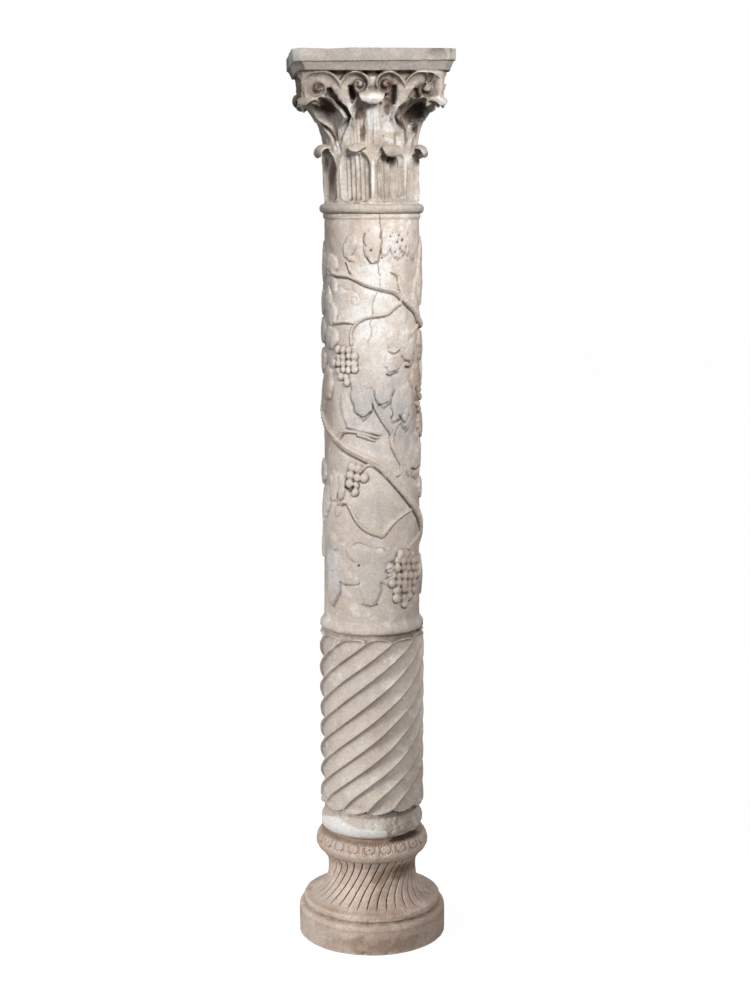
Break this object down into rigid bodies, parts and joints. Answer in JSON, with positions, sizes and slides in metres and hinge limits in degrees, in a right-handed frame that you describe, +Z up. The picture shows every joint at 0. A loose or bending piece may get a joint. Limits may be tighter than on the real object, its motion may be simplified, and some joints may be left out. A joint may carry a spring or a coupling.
{
  "type": "carved marble column",
  "caption": "Round marble column with a reeded base, a vine-carved shaft over twisted flutes and a square leaf capital, standing by its own weight",
  "frame": {"origin": "middle of the underside of the base, on the ground", "axes": "+Z up along the column, the side with the grape bunches and the repaired foot faces -Y, +X to its right"},
  "size_m": [0.3671, 0.3663, 1.985],
  "materials": {
    "base_marble": "pink-brown weathered marble, dry and slightly rough, with dirt in the hollows",
    "shaft_marble": "cream weathered marble with grey-white patches, dry and slightly rough",
    "capital_marble": "grey-white weathered marble with brown dirt in the deep cutting"
  },
  "bodies": {
    "root": {"base": "base_marble", "shaft": "shaft_marble", "capital": "capital_marble"}
  },
  "joints": []
}
